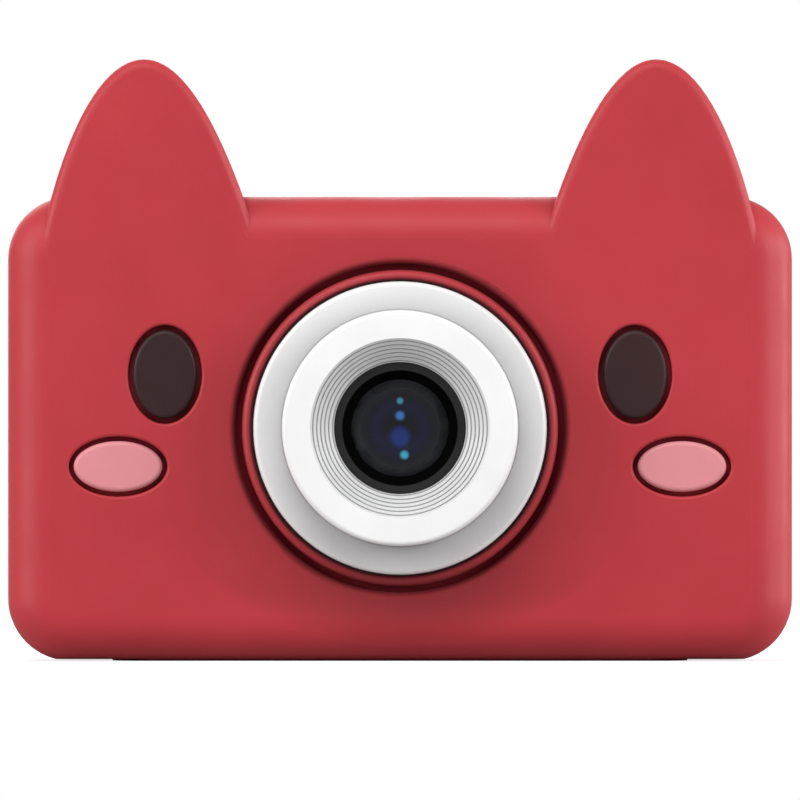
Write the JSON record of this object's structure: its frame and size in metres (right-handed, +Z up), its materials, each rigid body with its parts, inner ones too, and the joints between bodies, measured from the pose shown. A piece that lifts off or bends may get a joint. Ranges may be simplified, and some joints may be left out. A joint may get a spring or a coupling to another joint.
{
  "type": "kids digital camera",
  "caption": "Compact toy digital camera in a soft animal-eared silicone jacket, with a raised ring lens in front and a screen, arrow keys and buttons behind.",
  "frame": {"origin": "under the middle of the overall box, on the plane the camera stands on", "axes": "+X to the right when the lens is looked at, front and lens face -Y, +Z up"},
  "size_m": [0.098, 0.039, 0.0751],
  "materials": {
    "red_silicone": "satin silicone",
    "brown_silicone": "satin silicone",
    "pink_silicone": "satin silicone",
    "white_plastic": "semi-gloss",
    "white_keys": "semi-gloss",
    "red_plastic": "semi-gloss",
    "black_plastic": "matte",
    "lens_glass": "coated, polished",
    "chip_black": "matte",
    "circuit_board": "satin solder mask",
    "flat_cable": "satin",
    "steel": "brushed",
    "card_black": "satin",
    "foam": "matte",
    "screen_panel": "polished",
    "screen_window": "polished",
    "battery_pouch": "satin foil",
    "wire_sleeve": "satin",
    "clear_plastic": "polished"
  },
  "bodies": {
    "camera": {"battery": "battery_pouch", "battery_leads": "wire_sleeve", "battery_plug": "white_plastic", "board_chips": "chip_black", "board_screws": "steel", "card_socket": "steel", "cheek_pad_left": "pink_silicone", "cheek_pad_right": "pink_silicone", "display_flex": "flat_cable", "display_frame": "steel", "display_pad": "foam", "display_panel": "screen_panel", "eye_pad_left": "brown_silicone", "eye_pad_right": "brown_silicone", "front_lens": "lens_glass", "front_shell": "white_plastic", "image_sensor": "chip_black", "infrared_filter": "lens_glass", "lanyard_pin": "steel", "lens_barrel": "black_plastic", "lens_base_ring": "white_plastic", "lens_hood": "white_plastic", "lens_retainer": "black_plastic", "light_pipe": "clear_plastic", "main_board": "circuit_board", "microphone": "steel", "middle_lens": "lens_glass", "rear_lens": "lens_glass", "rear_shell": "white_plastic", "screen_window": "screen_window", "sensor_board": "circuit_board", "sensor_flex": "flat_cable", "sensor_housing": "black_plastic", "shell_screws": "steel", "side_switch_bodies": "black_plastic", "silicone_case": "red_silicone", "speaker": "black_plastic", "speaker_leads": "wire_sleeve", "switch_bodies": "black_plastic", "usb_socket": "steel"},
    "port_plug": {"port_plug": "red_silicone"},
    "memory_card": {"memory_card": "card_black"},
    "shutter_button": {"shutter_button": "red_plastic", "stem_shutter": "black_plastic"},
    "power_button": {"power_button": "white_keys", "stem_power": "black_plastic"},
    "ok_key": {"key_ok": "white_keys", "stem_ok": "black_plastic"},
    "menu_key": {"key_menu": "white_keys", "stem_menu": "black_plastic"},
    "play_key": {"key_play": "white_keys", "stem_play": "black_plastic"},
    "up_key": {"key_up": "white_keys", "stem_up": "black_plastic"},
    "right_key": {"key_right": "white_keys", "stem_right": "black_plastic"},
    "down_key": {"key_down": "white_keys", "stem_down": "black_plastic"},
    "left_key": {"key_left": "white_keys", "stem_left": "black_plastic"}
  },
  "joints": [
    {"name": "port_plug_hinge", "type": "hinge", "parent": "camera", "child": "port_plug", "pos_m": [0.0481, 0.0092, 0.0284], "axis": [0, 1, 0], "range_deg": [0, 90]},
    {"name": "memory_card_slide", "type": "slide", "parent": "camera", "child": "memory_card", "axis": [1, 0, 0], "range_m": [-0.0005, 0.018]},
    {"name": "shutter_press", "type": "slide", "parent": "camera", "child": "shutter_button", "axis": [0, 0, -1], "range_m": [0, 0.0005], "stiffness_N_per_m": 3000},
    {"name": "power_press", "type": "slide", "parent": "camera", "child": "power_button", "axis": [0, 0, -1], "range_m": [0, 0.0005], "stiffness_N_per_m": 3000},
    {"name": "ok_press", "type": "slide", "parent": "camera", "child": "ok_key", "axis": [0, -1, 0], "range_m": [0, 0.00035], "stiffness_N_per_m": 4000},
    {"name": "menu_press", "type": "slide", "parent": "camera", "child": "menu_key", "axis": [0, -1, 0], "range_m": [0, 0.00035], "stiffness_N_per_m": 4000},
    {"name": "play_press", "type": "slide", "parent": "camera", "child": "play_key", "axis": [0, -1, 0], "range_m": [0, 0.00035], "stiffness_N_per_m": 4000},
    {"name": "up_press", "type": "slide", "parent": "camera", "child": "up_key", "axis": [0, -1, 0], "range_m": [0, 0.00035], "stiffness_N_per_m": 4000},
    {"name": "right_press", "type": "slide", "parent": "camera", "child": "right_key", "axis": [0, -1, 0], "range_m": [0, 0.00035], "stiffness_N_per_m": 4000},
    {"name": "down_press", "type": "slide", "parent": "camera", "child": "down_key", "axis": [0, -1, 0], "range_m": [0, 0.00035], "stiffness_N_per_m": 4000},
    {"name": "left_press", "type": "slide", "parent": "camera", "child": "left_key", "axis": [0, -1, 0], "range_m": [0, 0.00035], "stiffness_N_per_m": 4000}
  ]
}
